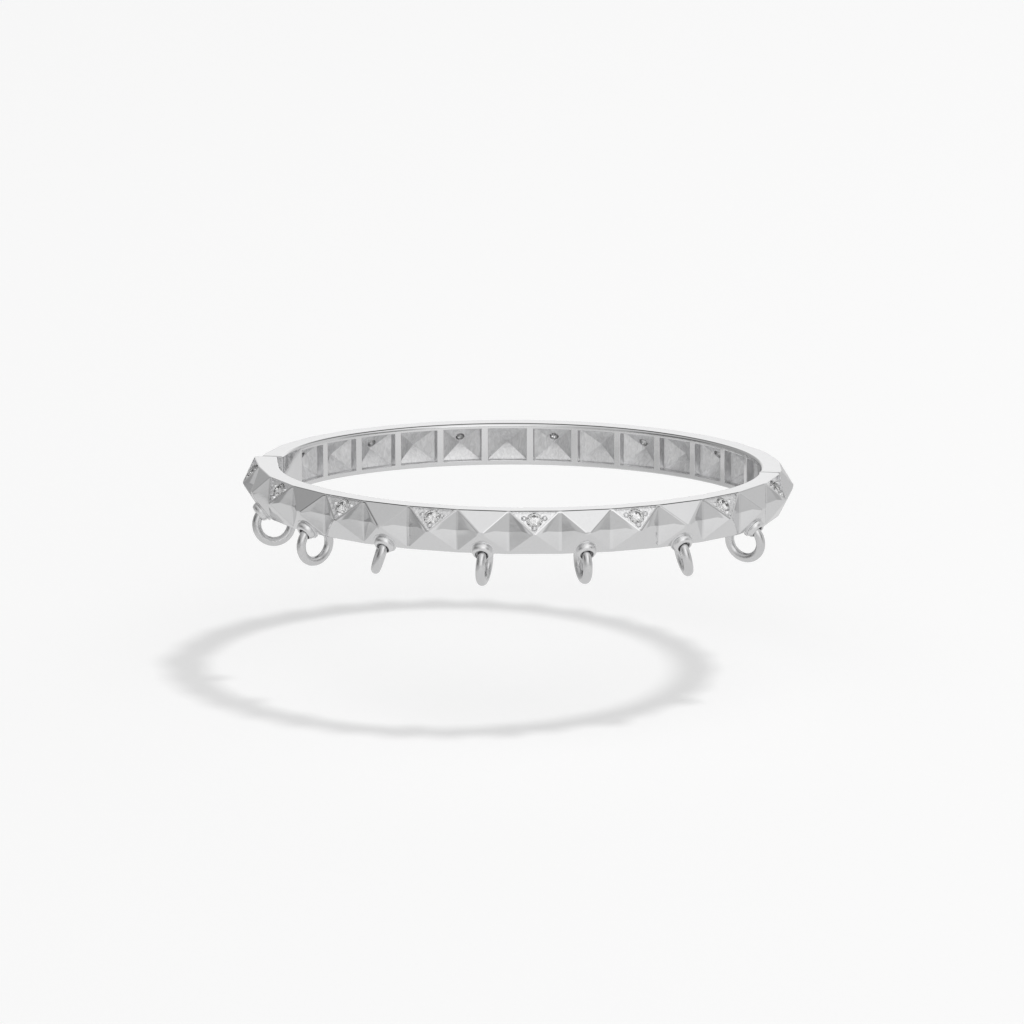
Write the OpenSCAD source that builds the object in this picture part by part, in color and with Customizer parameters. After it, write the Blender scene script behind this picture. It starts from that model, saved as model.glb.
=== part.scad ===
// Hinged cuff bracelet: an oval band of pyramid studs in two halves, with set
// stones, seven jump rings hanging from eyes, a hidden hinge and a tongue clasp.
// Millimetres. X runs along the oval's length with the hinge at +X and the clasp
// at -X, -Y is the front, Z is up. The origin is the middle of the wrist opening.

/* [Band] */
// Half of the oval's length, out to the foot of the studs
half_length = 31.6; // [30:0.1:34]
// Half of the oval's width, out to the foot of the studs
half_width = 27.5; // [26.5:0.1:29]
// Radius of the oval's end arcs, at the foot of the studs
end_radius = 24; // [22:0.1:25]
// Height of the band
band_height = 5.2; // [4.8:0.1:6]
// Width of the flat rim, from the inner wall to the foot of the studs
rim_width = 2.5; // [2.3:0.1:3]
// Number of studs on each half
studs_per_half = 15; // [15]
// Plain stretch between a seam and the first stud of the front half
front_margin = 0.5; // [0.4:0.1:0.8]
// Plain stretch between a seam and the first stud of the back half
back_margin = 1.4; // [0.8:0.1:1.6]
// Gap between the two halves at each seam
seam_gap = 0.08; // [0.06:0.01:0.12]

/* [Studs] */
// How far the point of a stud stands out from its foot
stud_rise = 1.82; // [1.6:0.02:2]

/* [Windows] */
// Height of the rail above the windows in the inner wall
top_rail = 0.65; // [0.6:0.05:0.8]
// Height of the rail below the windows
bottom_rail = 0.6; // [0.55:0.05:0.7]
// Width of the post between two windows
post_width = 0.85; // [0.8:0.05:1]
// Depth of a window's straight walls
window_depth = 1; // [0.9:0.05:1.1]
// Further depth of the hollow pyramid behind the straight walls
hollow_rise = 1.25; // [1:0.05:1.3]

/* [Stones] */
// Diameter of a stone
stone_d = 1.9; // [1.7:0.05:1.95]
// Distance of a stone's middle from the rim's edge, down the facet
stone_down = 1.1; // [1.08:0.01:1.2]
// Depth of the sunk field round a stone
field_depth = 0.3; // [0.25:0.05:0.35]
// Width of the raised border on the field's slanted sides
field_border = 0.18; // [0.12:0.02:0.2]
// Width of the border along the rim
field_top_border = 0.1; // [0.08:0.01:0.1]
// Diameter of the hole drilled behind each stone
drill_d = 1.1; // [1:0.05:1.15]
// Diameter of the metal beads that hold a stone
bead_d = 0.56; // [0.4:0.02:0.56]

/* [Eyes and jump rings] */
// Outer diameter of an eye
eye_d = 2.44; // [2.3:0.02:2.5]
// How far an eye stands out from its facet
eye_rise = 0.75; // [0.6:0.05:0.8]
// Diameter of the hole in an eye
eye_hole_d = 1.44; // [1.4:0.01:1.5]
// Outer diameter of a jump ring
ring_d = 5.3; // [5.2:0.02:5.4]
// Thickness of a jump ring's wire
wire_d = 1.1; // [1.05:0.01:1.15]
// Clearance round the wire where a ring passes through the band
ring_clearance = 0.08; // [0.06:0.01:0.12]

/* [Hinge and clasp] */
// Diameter of the hinge knuckles
knuckle_d = 1.6; // [1.5:0.05:1.8]
// Diameter of the hinge pin
pin_d = 0.8; // [0.7:0.05:0.9]
// Running clearance round the pin, on the radius
pin_clearance = 0.03; // [0.02:0.01:0.05]
// Distance of the pin's axis inside the foot of the studs
pin_inset = 0.5; // [0.45:0.05:0.6]
// Relief beside the seam outside the pin, each way, which sets the opening
relief_angle = 33; // [30:1:35]
// How far the front half's end stands out past the back half's at the clasp
clasp_step = 0.85; // [0.6:0.05:0.9]
// Thickness of the clasp's tongue
tongue_t = 0.8; // [0.8:0.05:1]
// Height of the clasp's tongue
tongue_h = 2.6; // [2.2:0.1:2.8]
// Length of the tongue that enters the front half
tongue_in = 2.6; // [2:0.1:3]

/* [Hidden] */
$fn = 48;

metal = [0.86, 0.86, 0.87];
pin_metal = [0.7, 0.7, 0.72];
stone_colour = [0.85, 0.93, 0.97];

// The halves: the back half lies at +Y, the front half at -Y
FRONT = -1;
BACK = 1;

top = band_height / 2;
slope = norm([stud_rise, top]);
facet_tilt = atan2(stud_rise, top);

// The oval is four tangent arcs: two end arcs and two side arcs
side_radius = (half_length * half_length + half_width * half_width
    - 2 * half_length * end_radius) / (2 * (half_width - end_radius));
end_x = half_length - end_radius;
side_y = side_radius - half_width;
end_turn = atan2(side_y, end_x);
end_run = end_radius * end_turn * PI / 180;
side_run = 2 * side_radius * (90 - end_turn) * PI / 180;
half_run = 2 * end_run + side_run;

// The arc that holds a point at a distance s along a half from the hinge:
// its middle, its radius and the outward direction at s
function oval_arc(s) =
    s < end_run
        ? [[end_x, 0], end_radius, s / end_run * end_turn]
        : s < end_run + side_run
            ? [[0, -side_y], side_radius,
                end_turn + (s - end_run) / side_run * (180 - 2 * end_turn)]
            : [[-end_x, 0], end_radius, 180 - (half_run - s) / end_run * end_turn];
function oval_point(s, inset = 0) =
    let (arc = oval_arc(s))
    arc[0] + (arc[1] - inset) * [cos(arc[2]), sin(arc[2])];

// Where the feet of two neighbouring studs meet, counted from the hinge
function margin(half) = half == FRONT ? front_margin : back_margin;
function valley_run(half, k) =
    margin(half) + k / studs_per_half * (half_run - 2 * margin(half));
function flip(half, p) = [p[0], half * p[1]];
// At the clasp the front half runs on straight and ends outside the back half
function stepped(half, s) =
    [half == FRONT && s > half_run - 2 * front_margin ? -clasp_step : 0, 0];
function valley(half, k, inset = 0) =
    let (s = valley_run(half, k))
    flip(half, oval_point(s, inset)) + stepped(half, s);
function stud_middle(half, j) = (valley(half, j) + valley(half, j + 1)) / 2;
function stud_width(half, j) = norm(valley(half, j + 1) - valley(half, j));
function window_width(half, j) =
    norm(valley(half, j + 1, rim_width) - valley(half, j, rim_width)) - post_width;
function stud_angle(half, j) =
    let (along = valley(half, j + 1) - valley(half, j))
    atan2(-half * along[0], half * along[1]);

// Stones alternate with eyes on the front half and with plain studs on the back
function has_stone(half, j) = half == FRONT ? j % 2 == 0 : j % 2 == 1;
function has_eye(half, j) = half == FRONT && j % 2 == 1;
// The last stud at each seam is solid, because the hinge and clasp are in it
function has_window(j) = j > 0 && j < studs_per_half - 1;

// Inside a stud's own frame X runs along the band, Y points out and Z is up
module at_stud(half, j) {
    translate(concat(stud_middle(half, j), 0))
        rotate(stud_angle(half, j) - 90)
            children();
}

// On a facet X runs along the rim, Y goes down to the point and Z stands out
module on_upper_facet() {
    translate([0, 0, top])
        rotate([facet_tilt - 90, 0, 0])
            children();
}

// The rim and studs of one half as flat faces, a little past both seams.
// Each station is a line across the rim, and a stud's point lies between two
past_seam = 0.5;
skin = 0.6;
function stations(half) = concat(
    [-past_seam], [for (k = [0:studs_per_half]) valley_run(half, k)],
    [half_run + past_seam]);
function station_point(half, s, inset) =
    s < 0 ? [half_length - inset, half * s]
        : stepped(half, s) + (s > half_run
            ? [inset - half_length, half * (half_run - s)]
            : flip(half, oval_point(s, inset)));

module faceted_shell(half) {
    runs = stations(half);
    n = len(runs);
    inner = rim_width + skin;
    outline = concat(
        [for (s = runs) station_point(half, s, 0)],
        [for (i = [n - 1:-1:0]) station_point(half, runs[i], inner)]);
    tips = [for (j = [0:studs_per_half - 1])
        let (a = stud_angle(half, j), m = stud_middle(half, j))
        [m[0] + stud_rise * cos(a), m[1] + stud_rise * sin(a), 0]];
    points = concat(
        [for (p = outline) [p[0], p[1], top]],
        [for (p = outline) [p[0], p[1], -top]],
        tips);
    m = 2 * n;
    is_stud = function (i) i >= 1 && i <= studs_per_half;
    rims = [for (i = [0:n - 2]) each [
        [i, i + 1, m - 2 - i, m - 1 - i],
        [i + m, 2 * m - 1 - i, 2 * m - 2 - i, i + 1 + m]]];
    walls = [for (i = [0:m - 1]) if (!is_stud(i))
        [i, i + m, (i + 1) % m + m, (i + 1) % m]];
    facets = [for (i = [1:studs_per_half]) let (tip = 2 * m + i - 1) each [
        [i, tip, i + 1], [i + 1, tip, i + 1 + m],
        [i + 1 + m, tip, i + m], [i + m, tip, i]]];
    faces = concat(rims, walls, facets);
    polyhedron(points, half == FRONT ? faces
        : [for (f = faces) [for (i = [len(f) - 1:-1:0]) f[i]]]);
}

// The wrist's hollow along one half: three true arcs, each a slice of a ring
module arc_cut(half, middle, radius, from, to) {
    translate([middle[0], half * middle[1], -top - 1])
        rotate(half == BACK ? from : -to)
            rotate_extrude(angle = to - from, $fn = 180)
                translate([radius - rim_width - 2, 0])
                    square([2, band_height + 2]);
}
module hollow(half) {
    over = 3;
    arc_cut(half, [end_x, 0], end_radius, -over, end_turn);
    arc_cut(half, [0, -side_y], side_radius, end_turn, 180 - end_turn);
    arc_cut(half, [-end_x, 0], end_radius, 180 - end_turn, 180 + over);
}

// The inner wall of the front half's last stretch before the clasp
straight_from = 5.5;
function wall_x(y) = -end_x - sqrt(pow(end_radius - rim_width, 2) - y * y);
module clasp_wall() {
    from = wall_x(straight_from) + 0.02;
    to = wall_x(0) - 0.73 * clasp_step;
    translate([0, 0, -top - 1])
        linear_extrude(band_height + 2)
            polygon([[from, -straight_from], [to + 3, -straight_from],
                [to + 3, 1], [to + (to - from) / straight_from, 1]]);
}

// A window in the inner wall: straight walls, then a hollow pyramid
module window(half, j) {
    w = window_width(half, j) / 2;
    low = bottom_rail - top;
    high = top - top_rail;
    in = -rim_width - 1;
    out = window_depth - rim_width;
    polyhedron(
        [[-w, in, low], [w, in, low], [w, in, high], [-w, in, high],
         [-w, out, low], [w, out, low], [w, out, high], [-w, out, high],
         [0, out + hollow_rise, (low + high) / 2]],
        [[3, 2, 1, 0], [1, 5, 4, 0], [2, 6, 5, 1], [3, 7, 6, 2], [0, 4, 7, 3],
         [5, 8, 4], [6, 8, 5], [7, 8, 6], [4, 8, 7]]);
}

// A round brilliant, table up, its girdle's lower edge at z = 0
table_ratio = 0.56;
crown_h = 0.15 * stone_d;
girdle_h = 0.03 * stone_d;
pavilion_h = 0.43 * stone_d;
stone_z = -field_depth - 0.03;
module brilliant() {
    r = stone_d / 2;
    t = table_ratio * r;
    ring = function (radius, z, count, turn) [for (i = [0:count - 1])
        [radius * cos(360 * i / count + turn), radius * sin(360 * i / count + turn), z]];
    star_r = (t + r) / 2 * 1.04;
    star_z = girdle_h + crown_h * 0.52;
    // table 0..7, crown points 8..15, upper girdle 16..31, lower girdle 32..47,
    // pavilion points 48..55, culet 56
    points = concat(
        ring(t, girdle_h + crown_h, 8, 0), ring(star_r, star_z, 8, 22.5),
        ring(r, girdle_h, 16, 0), ring(r, 0, 16, 0),
        ring(0.22 * r, -pavilion_h * 0.79, 8, 0), [[0, 0, -pavilion_h]]);
    next = function (i, count) (i + 1) % count;
    faces = concat(
        [[for (i = [7:-1:0]) i]],
        [for (i = [0:7]) each [
            [i, next(i, 8), 8 + i],
            [i, 8 + i, 16 + 2 * i], [i, 16 + 2 * i, 8 + (i + 7) % 8],
            [8 + i, 16 + next(2 * i, 16), 16 + 2 * i],
            [8 + i, 16 + next(2 * i + 1, 16), 16 + 2 * i + 1],
            [48 + i, 32 + 2 * i, 32 + 2 * i + 1],
            [48 + i, 32 + 2 * i + 1, 48 + next(i, 8)],
            [48 + next(i, 8), 32 + 2 * i + 1, 32 + next(2 * i + 1, 16)],
            [48 + i, 48 + next(i, 8), 56]]],
        [for (i = [0:15]) each [
            [16 + i, 16 + next(i, 16), 32 + i],
            [16 + next(i, 16), 32 + next(i, 16), 32 + i]]]);
    polyhedron(points, [for (f = faces) [for (i = [len(f) - 1:-1:0]) f[i]]]);
}

// What is cut for a stone: the sunk field, the seat and the drilled hole
seat_gap = 0.04;
module stone_cut(half, j, drill_depth) {
    w = stud_width(half, j);
    edge = norm([w / 2, slope]);
    side = function (v) w / 2 * (1 - v / slope) - field_border * edge / slope;
    tip = slope * (1 - 2 * field_border * edge / (slope * w));
    seat_r = stone_d / 2 + seat_gap;
    seat_floor = stone_z - 0.03;
    cone_h = pavilion_h * (1 - drill_d / stone_d);
    on_upper_facet() {
        translate([0, 0, -field_depth])
            linear_extrude(1)
                polygon([[-side(field_top_border), field_top_border],
                    [side(field_top_border), field_top_border], [0, tip]]);
        translate([0, stone_down, seat_floor])
            cylinder(r = seat_r, h = -seat_floor);
        translate([0, stone_down, seat_floor - cone_h])
            cylinder(r1 = drill_d / 2 + seat_gap, r2 = seat_r, h = cone_h);
        translate([0, stone_down, -drill_depth])
            cylinder(d = drill_d, h = drill_depth);
    }
}

// The beads that hold a stone: along the rim, down the facet, and out from it
beads = [[-1.22, 0.84, -0.12], [1.22, 0.84, -0.12], [0, 2.18, 0]];
bead_stem_d = 0.24;
module stone_beads() {
    on_upper_facet()
        for (b = beads) {
            translate(b)
                sphere(d = bead_d, $fn = 24);
            translate([b[0], b[1], -field_depth - 0.1])
                cylinder(d = bead_stem_d, h = field_depth + 0.1 + b[2], $fn = 24);
        }
}

module stone(half, j) {
    color(stone_colour)
        at_stud(half, j)
            on_upper_facet()
                translate([0, stone_down, stone_z])
                    brilliant();
}

// On the lower facet Y goes on from the point to the lower edge, Z stands out
module on_lower_facet() {
    translate([0, 0, -top])
        rotate([-90 - facet_tilt, 0, 0])
            children();
}

// An eye is a round boss low on the facet, with a hole a little below its middle
eye_up = 0.57;
eye_round = 0.3;
eye_root = 0.25;
hole_offset = 0.2;
hole_depth = 1.6;
module eye() {
    on_lower_facet()
        translate([0, -eye_up, 0])
            rotate_extrude() {
                translate([0, -eye_root])
                    square([eye_d / 2, eye_rise - eye_round + eye_root]);
                translate([0, -eye_root])
                    square([eye_d / 2 - eye_round, eye_rise + eye_root]);
                translate([eye_d / 2 - eye_round, eye_rise - eye_round])
                    circle(r = eye_round, $fn = 24);
            }
}
module eye_hole() {
    on_lower_facet()
        translate([0, hole_offset - eye_up, -hole_depth])
            cylinder(d = eye_hole_d, h = hole_depth + eye_rise + 1);
}

// How each jump ring hangs, left to right along the front: the stud that
// carries it, counted from the hinge, its turn about the upright, its sideways
// lean and its swing in its own plane, in degrees
ring_stud = 0;
ring_yaw = 1;
ring_lean = 2;
ring_swing = 3;
ring_poses = [
    [13, -5, 5, -6],
    [11, 0, -3, 3],
    [9, 30, -18, -12],
    [7, -4, -5, 0],
    [5, 4, 3, -5],
    [3, -20, 14, 0],
    [1, 2, 8, 0]
];
// A ring's middle in its stud's frame, and the place that it turns about
ring_middle = [0, -0.98, -top - 1.43];
ring_pivot = [0, 0.85, -top - 0.34];
module ring_shape(i, wire) {
    pose = ring_poses[i - 1];
    at_stud(FRONT, pose[ring_stud])
        translate(ring_pivot)
            rotate([0, 0, pose[ring_yaw]])
                rotate([0, pose[ring_lean], 0])
                    rotate([pose[ring_swing], 0, 0])
                        translate(ring_middle - ring_pivot)
                            rotate([0, 90, 0])
                                rotate_extrude()
                                    translate([(ring_d - wire_d) / 2, 0])
                                        circle(d = wire, $fn = 24);
}
module jump_ring(i) {
    color(metal)
        ring_shape(i, wire_d);
}

// The hinge: three knuckles inside the rim, the middle one on the front half
pin_x = half_length - pin_inset;
barrel = 3.9;
knuckle_gap = 0.05;
middle_h = 1.3;
pocket_r = knuckle_d / 2 + 0.08;
module knuckle_space(low, high, r) {
    translate([pin_x, 0, low])
        cylinder(r = r, h = high - low);
}
module front_knuckle() {
    knuckle_space(-middle_h / 2, middle_h / 2, knuckle_d / 2);
}
module back_knuckles() {
    knuckle_space(middle_h / 2 + knuckle_gap, barrel / 2, knuckle_d / 2);
    knuckle_space(-barrel / 2, -middle_h / 2 - knuckle_gap, knuckle_d / 2);
}
module pin_hole() {
    translate([pin_x, 0, -barrel / 2 - knuckle_gap])
        cylinder(d = pin_d + 2 * pin_clearance, h = barrel + 2 * knuckle_gap);
}
// Past the pin the ends are cut back, so that the halves can swing apart
module hinge_relief() {
    reach = 6;
    translate([pin_x, 0, -top - 1])
        linear_extrude(band_height + 2)
            polygon([[0, 0],
                reach * [cos(relief_angle), -sin(relief_angle)],
                reach * [cos(relief_angle), sin(relief_angle)]]);
}

// The clasp: a tongue from the back half's end into a socket in the front half
tongue_x = rim_width / 2 - half_length - 0.4 * clasp_step;
tongue_back = 2;
socket_gap = 0.2;
seat_fit = 0.03;
slot_w = 0.5;
slot_h = 1.8;
module tongue_block(gap, y0, y1) {
    translate([tongue_x - tongue_t / 2 - gap, y0, -tongue_h / 2 - gap])
        cube([tongue_t + 2 * gap, y1 - y0, tongue_h + 2 * gap]);
}
module clasp_socket() {
    tongue_block(socket_gap, -tongue_in - socket_gap, 1);
    translate([tongue_x, -1.5, -slot_h / 2])
        cube([rim_width, slot_w, slot_h]);
}
module clasp_seat() {
    tongue_block(seat_fit, -1, tongue_back + seat_fit);
}

// Depth of the drilled hole: through to the window, or blind beside a seam
through = 2.3;
blind = 1.6;

module half_body(half) {
    difference() {
        faceted_shell(half);
        hollow(half);
        if (half == FRONT)
            clasp_wall();
        translate([-50, half == FRONT ? -seam_gap / 2 : -50, -50])
            cube([100, 50 + (half == FRONT ? 0 : seam_gap / 2), 100]);
        hinge_relief();
        for (j = [0:studs_per_half - 1])
            at_stud(half, j) {
                if (has_window(j))
                    window(half, j);
                if (has_stone(half, j))
                    stone_cut(half, j, has_window(j) ? through : blind);
            }
    }
    for (j = [0:studs_per_half - 1])
        if (has_stone(half, j))
            at_stud(half, j)
                stone_beads();
}

module front_half() {
    color(metal)
        difference() {
            union() {
                half_body(FRONT);
                front_knuckle();
                for (j = [0:studs_per_half - 1])
                    if (has_eye(FRONT, j))
                        at_stud(FRONT, j)
                            eye();
            }
            for (i = [1:len(ring_poses)]) {
                ring_shape(i, wire_d + 2 * ring_clearance);
                at_stud(FRONT, ring_poses[i - 1][ring_stud])
                    eye_hole();
            }
            knuckle_space(middle_h / 2, barrel / 2 + knuckle_gap, pocket_r);
            knuckle_space(-barrel / 2 - knuckle_gap, -middle_h / 2, pocket_r);
            pin_hole();
            clasp_socket();
        }
}

module back_half() {
    color(metal)
        difference() {
            union() {
                difference() {
                    half_body(BACK);
                    knuckle_space(-middle_h / 2 - knuckle_gap,
                        middle_h / 2 + knuckle_gap, pocket_r);
                }
                back_knuckles();
            }
            pin_hole();
            clasp_seat();
        }
}

module hinge_pin() {
    color(pin_metal)
        translate([pin_x, 0, -barrel / 2])
            cylinder(d = pin_d, h = barrel);
}

module clasp_tongue() {
    color(pin_metal)
        tongue_block(0, -tongue_in, tongue_back);
}

front_half();
back_half();
hinge_pin();
clasp_tongue();
for (i = [1:len(ring_poses)])
    jump_ring(i);
for (i = [1:8])
    stone(FRONT, 16 - 2 * i);
for (i = [1:7])
    stone(BACK, 15 - 2 * i);
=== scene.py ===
# %% [markdown]
# # A hinged cuff bracelet in polished white metal
#
# The bracelet is an oval bangle in two halves. Its outer face is a row of
# pyramid studs, the inner wall is pierced with a window behind each stud, small
# round stones sit in every second stud, and seven plain jump rings hang from
# eyes on the front half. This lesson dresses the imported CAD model: the solids
# fix every size and place, and Blender adds the soft edges, the polish and the
# sparkle that a maker's bench gives the real thing.

import math

import bmesh
import bpy
from mathutils import Matrix, Vector


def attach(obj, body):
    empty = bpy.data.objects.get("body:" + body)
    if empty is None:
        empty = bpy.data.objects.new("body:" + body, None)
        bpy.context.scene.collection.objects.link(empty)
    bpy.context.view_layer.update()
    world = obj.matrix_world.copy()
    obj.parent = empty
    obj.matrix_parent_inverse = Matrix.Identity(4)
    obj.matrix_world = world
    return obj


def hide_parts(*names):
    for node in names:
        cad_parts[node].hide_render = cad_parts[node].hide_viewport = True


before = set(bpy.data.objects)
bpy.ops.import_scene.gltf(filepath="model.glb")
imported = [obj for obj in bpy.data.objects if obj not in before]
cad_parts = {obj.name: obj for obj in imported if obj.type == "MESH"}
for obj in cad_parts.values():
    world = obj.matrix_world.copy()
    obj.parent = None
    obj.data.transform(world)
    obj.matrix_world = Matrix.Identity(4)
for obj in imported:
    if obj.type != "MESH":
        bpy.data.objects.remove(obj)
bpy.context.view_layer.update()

# %% [markdown]
# ## Where the camera stands
#
# The camera looks at the front of the band from a little above and a little to
# the right, from far away with a long lens, so the oval hardly narrows towards
# the back. Three directions describe its turn: where its right hand points,
# where its top points, and where it looks. A small shift places the bracelet in
# the frame as the photograph does, without turning the camera.

# %% Camera
VIEW_DISTANCE = 1.1
VIEW_HEIGHT_ANGLE = math.radians(11.549)
VIEW_SIDE_ANGLE = math.radians(-9.172)
PIXELS_PER_METRE = 8301.0
IMAGE_SIDE = 1024
SENSOR = 36.0
RIM_MIDDLE = Vector((0, 0, 0.0026))
RIM_MIDDLE_PIXEL = (519.8, 464.2)

look = Vector((
    math.sin(VIEW_SIDE_ANGLE) * math.cos(VIEW_HEIGHT_ANGLE),
    math.cos(VIEW_SIDE_ANGLE) * math.cos(VIEW_HEIGHT_ANGLE),
    -math.sin(VIEW_HEIGHT_ANGLE)))
right_hand = look.cross(Vector((0, 0, 1))).normalized()
upward = right_hand.cross(look)
eye_point = RIM_MIDDLE - look * VIEW_DISTANCE

camera_data = bpy.data.cameras.new("camera")
camera_data.sensor_width = SENSOR
camera_data.lens = PIXELS_PER_METRE * VIEW_DISTANCE * SENSOR / IMAGE_SIDE
camera_data.shift_x = (IMAGE_SIDE / 2 - RIM_MIDDLE_PIXEL[0]) / IMAGE_SIDE
camera_data.shift_y = (RIM_MIDDLE_PIXEL[1] - IMAGE_SIDE / 2) / IMAGE_SIDE
camera_data.clip_start = 0.01
camera = bpy.data.objects.new("camera", camera_data)
camera.matrix_world = Matrix.Translation(eye_point) @ (
    Matrix((right_hand, upward, -look)).transposed().to_4x4())
bpy.context.scene.collection.objects.link(camera)
bpy.context.scene.camera = camera
print("camera at", tuple(round(c, 4) for c in eye_point), "lens", round(camera_data.lens, 1))

# %% [markdown]
# ## The sizes of the band
#
# All modelling is done in millimetres, because bevels of a few hundredths of a
# millimetre are easier to read that way, and each finished mesh is scaled to
# metres at the end. The numbers are those of the solids. The oval is four arcs
# that meet smoothly: a short one round each end and a long one on each side, so
# a place on the band is simply a distance along one half, counted from the
# hinge at the right.

# %% Sizes in millimetres
HALF_LENGTH, HALF_WIDTH, END_RADIUS = 31.6, 27.5, 24.0
BAND_HEIGHT, RIM_WIDTH = 5.2, 2.5
STUDS, MIDDLE_STUD = 15, 7
MARGIN = {"front": 0.5, "back": 1.4}
SIDE = {"front": -1, "back": 1}
SEAM_HALF_GAP = 0.04
STUD_RISE = 1.82
CLASP_STEP = 0.85
TOP = BAND_HEIGHT / 2

SIDE_RADIUS = (HALF_LENGTH**2 + HALF_WIDTH**2 - 2 * HALF_LENGTH * END_RADIUS) / (
    2 * (HALF_WIDTH - END_RADIUS))
END_X = HALF_LENGTH - END_RADIUS
SIDE_Y = SIDE_RADIUS - HALF_WIDTH
END_TURN = math.atan2(SIDE_Y, END_X)
END_RUN = END_RADIUS * END_TURN
SIDE_RUN = SIDE_RADIUS * (math.pi - 2 * END_TURN)
HALF_RUN = 2 * END_RUN + SIDE_RUN
FACET_SLOPE = math.hypot(STUD_RISE, TOP)
FACET_TILT = math.atan2(STUD_RISE, TOP)


def oval_point(half, run, inset=0.0):
    """The place on the oval at a distance from the hinge, moved inwards by inset."""
    if run < END_RUN:
        middle, radius, turn = (END_X, 0), END_RADIUS, run / END_RADIUS
    elif run < END_RUN + SIDE_RUN:
        middle, radius = (0, -SIDE_Y), SIDE_RADIUS
        turn = END_TURN + (run - END_RUN) / SIDE_RADIUS
    else:
        middle, radius = (-END_X, 0), END_RADIUS
        turn = math.pi - (HALF_RUN - run) / END_RADIUS
    reach = radius - inset
    x, y = middle[0] + reach * math.cos(turn), middle[1] + reach * math.sin(turn)
    return Vector((x, SIDE[half] * y, 0))


def valley_run(half, k):
    """How far along the half two neighbouring studs meet."""
    return MARGIN[half] + k / STUDS * (HALF_RUN - 2 * MARGIN[half])


def clasp_step(half, run):
    """At the clasp the front half runs on straight and ends outside the back half."""
    late = half == "front" and run > HALF_RUN - 2 * MARGIN[half]
    return Vector((-CLASP_STEP if late else 0, 0, 0))


def valley(half, k):
    run = valley_run(half, k)
    return oval_point(half, run) + clasp_step(half, run)


def stud_width(half, j):
    return (valley(half, j + 1) - valley(half, j)).length


def stud_frame(half, j):
    """A stud's own axes: X along the band, Y outwards and Z up."""
    along = valley(half, j + 1) - valley(half, j)
    turn = math.atan2(-SIDE[half] * along.x, SIDE[half] * along.y)
    middle = (valley(half, j) + valley(half, j + 1)) / 2
    return Matrix.Translation(middle) @ Matrix.Rotation(turn - math.pi / 2, 4, "Z")


UPPER_FACET = Matrix.Translation((0, 0, TOP)) @ Matrix.Rotation(
    FACET_TILT - math.pi / 2, 4, "X")
LOWER_FACET = Matrix.Translation((0, 0, -TOP)) @ Matrix.Rotation(
    -math.pi / 2 - FACET_TILT, 4, "X")
print("stud widths:", [round(stud_width(half, MIDDLE_STUD), 3) for half in SIDE], "mm")

# %% [markdown]
# ## Writing nodes as sums
#
# Both materials and Geometry Nodes are trees of boxes and wires. To keep them
# readable, one small class holds a socket. Adding or multiplying two of them
# adds the Math node, and one method makes any other node, sets its options
# first and then fills or links its sockets. A slope, a grey and a noise are
# needed often, so each has a method of its own.


# %% A socket that can be used in sums
class Wire:
    def __init__(self, tree, socket=None):
        self.tree, self.socket = tree, socket

    def plug(self, target, value):
        if isinstance(value, Wire):
            self.tree.links.new(value.socket, target)
        else:
            target.default_value = value

    def fill(self, made, sockets):
        for name, value in sockets.items():
            self.plug(made.inputs[name], value)

    def node(self, kind, sockets=None, out=0, **options):
        made = self.tree.nodes.new(kind)
        for name, value in options.items():
            setattr(made, name, value)
        self.fill(made, sockets or {})
        return Wire(self.tree, made.outputs[out])

    def sum(self, operation, first, second):
        return self.node("ShaderNodeMath", {0: first, 1: second}, operation=operation)

    def __add__(self, other):
        return self.sum("ADD", self, other)

    def __sub__(self, other):
        return self.sum("SUBTRACT", self, other)

    def __rsub__(self, other):
        return self.sum("SUBTRACT", other, self)

    def __mul__(self, other):
        return self.sum("MULTIPLY", self, other)

    __radd__, __rmul__ = __add__, __mul__

    def ramp(self, start, stop, low=0.0, high=1.0):
        """A soft slope: low up to start, high from stop on."""
        return self.node("ShaderNodeMapRange", {
            "Value": self, "From Min": start, "From Max": stop, "To Min": low, "To Max": high},
            interpolation_type="SMOOTHSTEP")

    def grey(self):
        """The same level for red, green and blue."""
        return self.node("ShaderNodeCombineXYZ", {"X": self, "Y": self, "Z": self})

    def noise(self, place, scale, detail, roughness=0.5, distortion=0.0):
        return self.node("ShaderNodeTexNoise", {
            "Vector": place, "Scale": scale, "Detail": detail, "Roughness": roughness,
            "Distortion": distortion})


# %% [markdown]
# ## The metals
#
# The band is cast white metal polished on a wheel until it mirrors the room.
# What makes such a mirror look like metal, and not like chrome paint, is that it
# is never quite even: the wheel leaves faint swirls and a slightly wavy skin.
# Three noises do that. A broad one makes some patches a touch duller, a fine one
# stands for the wheel's swirls, and a middling one lifts the surface by about a
# hundredth of a millimetre. Inside the windows the wheel doesn't reach, so the
# same metal is left satin there, and its grain runs upright. The fields that the
# graver cuts round the stones are broken into small cuts, and their metal is
# set lighter than the polished one, a painted sheen that makes them read bright.
# The eyes are polished softly, the rings are drawn wire, and the pin is brushed
# steel.


# %% A metal with its own finish
BROAD_SCALE = 170.0


def new_material(name):
    material = bpy.data.materials.new(name)
    material.use_nodes = True
    shader = material.node_tree.nodes["Principled BSDF"]
    return material, shader, Wire(material.node_tree)


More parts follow.
